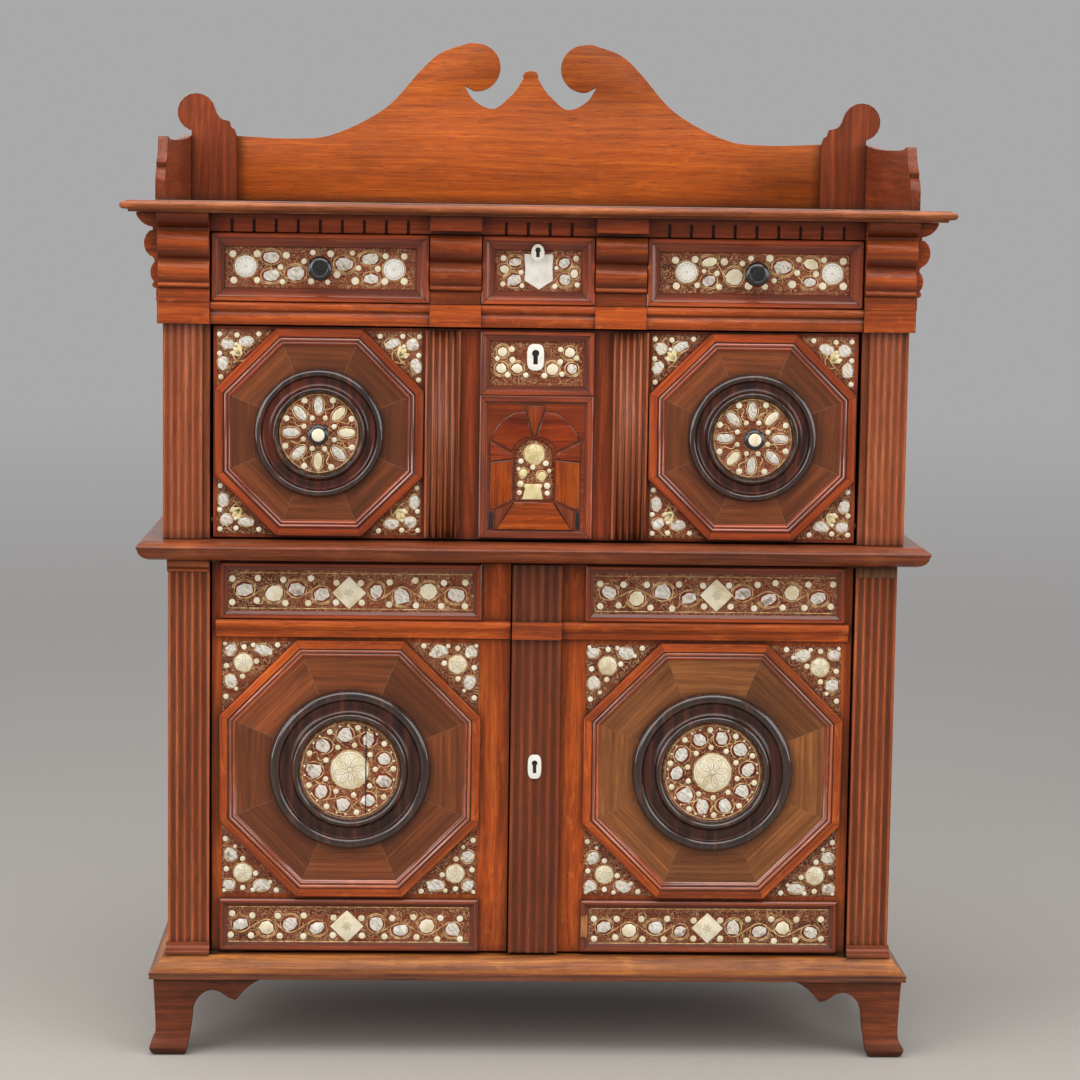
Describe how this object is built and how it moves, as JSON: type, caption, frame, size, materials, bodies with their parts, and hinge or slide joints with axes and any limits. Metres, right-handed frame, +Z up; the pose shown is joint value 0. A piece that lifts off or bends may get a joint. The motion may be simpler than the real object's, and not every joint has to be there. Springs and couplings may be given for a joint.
{
  "type": "secretaire chest",
  "caption": "Inlaid oak secretaire chest with a scrolled gallery, a frieze drawer, a fall-front writing drawer and a cupboard below, on bracket feet.",
  "frame": {"origin": "centre of the bounding box on the floor", "axes": "+Z up, +X to the viewer's right, the front faces -Y"},
  "size_m": [1.22, 0.563, 1.541],
  "materials": {
    "oak": "reddish brown polished oak",
    "oak_dark": "dark red-brown polished oak",
    "oak_gold": "warm orange polished oak",
    "oak_inside": "dry unpolished oak",
    "field_wood": "dull brown polished veneer",
    "ebony": "near-black polished turned wood",
    "brass": "dull old brass",
    "iron": "dark forged iron"
  },
  "bodies": {
    "case": {"foot_front_left": "oak", "foot_front_right": "oak", "foot_back_left": "oak", "foot_back_right": "oak", "base_board": "oak_gold", "lower_side_left": "oak", "lower_side_right": "oak", "lower_back": "oak_inside", "lower_pilaster_left": "oak_dark", "lower_pilaster_right": "oak_dark", "waist_board": "oak", "upper_side_left": "oak", "upper_side_right": "oak", "upper_back": "oak_inside", "upper_pilaster_left": "oak_dark", "upper_pilaster_right": "oak_dark", "corner_corbel_left": "oak", "corner_corbel_right": "oak", "frieze_rail": "oak", "dentil_rail": "oak_dark", "cornice_board": "oak", "gallery_back": "oak_gold", "gallery_side_left": "oak_dark", "gallery_side_right": "oak_dark", "gallery_ear_left": "oak", "gallery_ear_right": "oak"},
    "frieze_drawer": {"frieze_front": "oak", "frieze_box": "oak_inside", "frieze_corbel_left": "oak", "frieze_corbel_right": "oak", "frieze_knob_left": "ebony", "frieze_knob_right": "ebony", "frieze_lock": "iron"},
    "secretaire_drawer": {"secretaire_box": "oak_inside", "pigeonholes": "oak_inside", "fall_pivot_left": "brass", "fall_pivot_right": "brass"},
    "fall": {"fall_board": "oak_dark", "fall_octagon_left": "field_wood", "fall_octagon_right": "field_wood", "fall_ring_left": "ebony", "fall_ring_right": "ebony", "fall_knob_left": "ebony", "fall_knob_right": "ebony", "fall_arch_panel": "oak", "fall_lock": "iron", "fall_stay_left": "brass", "fall_stay_right": "brass"},
    "left_door": {"left_door": "oak_gold", "left_octagon": "field_wood", "left_ring": "ebony", "left_pivot_top": "brass", "left_pivot_bottom": "brass"},
    "right_door": {"right_door": "oak_gold", "right_octagon": "field_wood", "right_ring": "ebony", "centre_pilaster": "oak_dark", "door_lock": "iron", "right_pivot_top": "brass", "right_pivot_bottom": "brass"}
  },
  "joints": [
    {"name": "frieze_slide", "type": "slide", "parent": "case", "child": "frieze_drawer", "axis": [0, -1, 0], "range_m": [0, 0.36]},
    {"name": "secretaire_slide", "type": "slide", "parent": "case", "child": "secretaire_drawer", "axis": [0, -1, 0], "range_m": [0, 0.28]},
    {"name": "fall_hinge", "type": "hinge", "parent": "secretaire_drawer", "child": "fall", "pos_m": [0, -0.2095, 0.809], "axis": [1, 0, 0], "range_deg": [0, 90]},
    {"name": "left_door_hinge", "type": "hinge", "parent": "case", "child": "left_door", "pos_m": [-0.4778, -0.2165, 0.45], "axis": [0, 0, -1], "range_deg": [0, 100]},
    {"name": "right_door_hinge", "type": "hinge", "parent": "case", "child": "right_door", "pos_m": [0.4778, -0.2165, 0.45], "axis": [0, 0, 1], "range_deg": [0, 100]}
  ]
}
